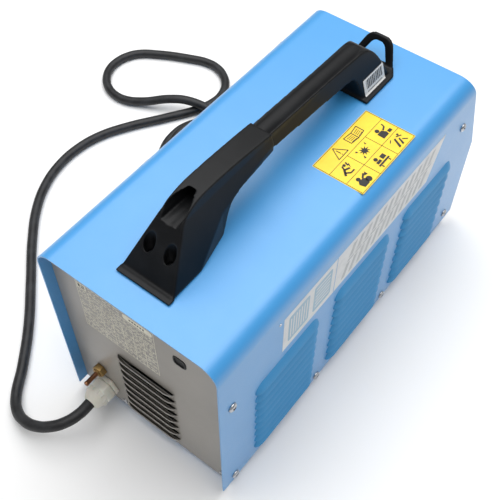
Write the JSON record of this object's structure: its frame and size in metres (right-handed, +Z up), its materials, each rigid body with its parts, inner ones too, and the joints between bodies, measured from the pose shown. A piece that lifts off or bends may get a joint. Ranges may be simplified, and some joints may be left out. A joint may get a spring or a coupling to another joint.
{
  "type": "mig welder",
  "caption": "Portable inverter MIG welder: folded blue steel case with louvres, moulded black carry handle, wire-feed bay behind a side door, front sockets and dials, and a black mains lead.",
  "frame": {"origin": "on the floor under the middle of the machine, measured over the machine without its mains lead", "axes": "+Z up, -Y towards the front with the torch socket and dials, +Y towards the rear panel with the cable gland, +X towards the wire-feed door"},
  "size_m": [0.5584, 0.596, 0.333],
  "materials": {
    "blue_powder_coat": "fine-textured satin",
    "grey_paint": "semi-gloss",
    "black_plastic": "fine matt grain",
    "black_rubber": "matt",
    "white_nylon": "satin",
    "brass": "turned",
    "zinc": "zinc plated",
    "zinc_sheet": "bare zinc-coated sheet",
    "aluminium": "milled",
    "copper_wire": "enamelled winding",
    "welding_wire": "copper-washed steel wire",
    "green_board": "solder mask",
    "ferrite": "matt",
    "red_plastic": "gloss",
    "smoked_lens": "gloss"
  },
  "bodies": {
    "machine": {"casing_cover": "blue_powder_coat", "rear_panel": "grey_paint", "front_panel": "grey_paint", "base_tray": "grey_paint", "rear_hole_plug": "black_plastic", "gland_body": "white_nylon", "gland_nut": "white_nylon", "gas_inlet_barb": "brass", "display_lens": "smoked_lens", "power_switch_frame": "black_plastic", "torch_socket": "brass", "earth_socket": "black_plastic", "handle_rear_foot": "black_plastic", "handle_grip": "black_plastic", "handle_screw_left": "zinc", "handle_screw_right": "zinc", "centre_partition": "zinc_sheet", "power_board": "green_board", "heatsink": "aluminium", "transformer_core": "ferrite", "transformer_winding": "copper_wire", "output_choke": "copper_wire", "fan_frame": "black_plastic", "spool_hub": "black_plastic", "feed_plate": "aluminium", "feed_motor": "zinc_sheet", "hinge_leaf_front": "zinc", "hinge_leaf_rear": "zinc", "mains_lead_run": "black_rubber", "mains_lead_coil": "black_rubber", "mains_lead_tail": "black_rubber", "mains_plug_body": "black_rubber", "mains_plug_pin_left": "zinc", "mains_plug_pin_right": "zinc", "left_screw_1": "zinc", "left_screw_2": "zinc", "left_screw_3": "zinc", "left_screw_4": "zinc", "left_screw_5": "zinc", "left_screw_6": "zinc", "right_screw_1": "zinc", "right_screw_2": "zinc", "foot_front_left": "black_rubber", "foot_front_right": "black_rubber", "foot_rear_left": "black_rubber", "foot_rear_right": "black_rubber"},
    "side_door": {"side_door": "blue_powder_coat"},
    "door_latch_front": {"door_latch_front": "black_plastic"},
    "door_latch_rear": {"door_latch_rear": "black_plastic"},
    "fan_rotor": {"fan_rotor": "black_plastic"},
    "wire_spool": {"wire_spool": "black_plastic", "wire_pack": "welding_wire"},
    "spool_nut": {"spool_nut": "black_plastic"},
    "drive_roll": {"drive_roll": "zinc"},
    "pressure_arm": {"pressure_arm": "aluminium"},
    "pressure_roller": {"pressure_roller": "zinc"},
    "tension_knob": {"tension_knob": "black_plastic"},
    "voltage_knob": {"voltage_knob": "black_plastic"},
    "wire_speed_knob": {"wire_speed_knob": "black_plastic"},
    "power_rocker": {"power_rocker": "red_plastic"}
  },
  "joints": [
    {"name": "side_door_hinge", "type": "hinge", "parent": "machine", "child": "side_door", "pos_m": [0.1075, -0.018, 0.239], "axis": [0, -1, 0], "range_deg": [0, 105]},
    {"name": "door_latch_front_turn", "type": "hinge", "parent": "side_door", "child": "door_latch_front", "pos_m": [0.1071, -0.14, 0.06], "axis": [-1, 0, 0], "range_deg": [0, 90]},
    {"name": "door_latch_rear_turn", "type": "hinge", "parent": "side_door", "child": "door_latch_rear", "pos_m": [0.1071, 0.104, 0.06], "axis": [-1, 0, 0], "range_deg": [0, 90]},
    {"name": "fan_spin", "type": "hinge", "parent": "machine", "child": "fan_rotor", "pos_m": [-0.008, 0.2107, 0.076], "axis": [0, 1, 0], "continuous": true},
    {"name": "spool_spin", "type": "hinge", "parent": "machine", "child": "wire_spool", "pos_m": [0.065, 0.045, 0.142], "axis": [1, 0, 0], "continuous": true},
    {"name": "spool_nut_turn", "type": "hinge", "parent": "machine", "child": "spool_nut", "pos_m": [0.091, 0.045, 0.142], "axis": [1, 0, 0], "range_deg": [0, 720]},
    {"name": "drive_roll_spin", "type": "hinge", "parent": "machine", "child": "drive_roll", "pos_m": [0.057, -0.13, 0.095], "axis": [1, 0, 0], "continuous": true},
    {"name": "pressure_arm_lift", "type": "hinge", "parent": "machine", "child": "pressure_arm", "pos_m": [0.057, -0.098, 0.125], "axis": [-1, 0, 0], "range_deg": [0, 60]},
    {"name": "pressure_roller_spin", "type": "hinge", "parent": "pressure_arm", "child": "pressure_roller", "pos_m": [0.057, -0.13, 0.1218], "axis": [1, 0, 0], "continuous": true},
    {"name": "tension_knob_turn", "type": "hinge", "parent": "pressure_arm", "child": "tension_knob", "pos_m": [0.057, -0.159, 0.14], "axis": [0, 0, 1], "range_deg": [0, 720]},
    {"name": "voltage_knob_turn", "type": "hinge", "parent": "machine", "child": "voltage_knob", "pos_m": [-0.052, -0.20657, 0.196], "axis": [0, -0.9377, 0.3474], "range_deg": [-135, 135]},
    {"name": "wire_speed_knob_turn", "type": "hinge", "parent": "machine", "child": "wire_speed_knob", "pos_m": [0.052, -0.20657, 0.196], "axis": [0, -0.9377, 0.3474], "range_deg": [-135, 135]},
    {"name": "power_rocker_tilt", "type": "hinge", "parent": "machine", "child": "power_rocker", "pos_m": [-0.05, -0.2235, 0.108], "axis": [-1, 0, 0], "range_deg": [0, 14]}
  ]
}
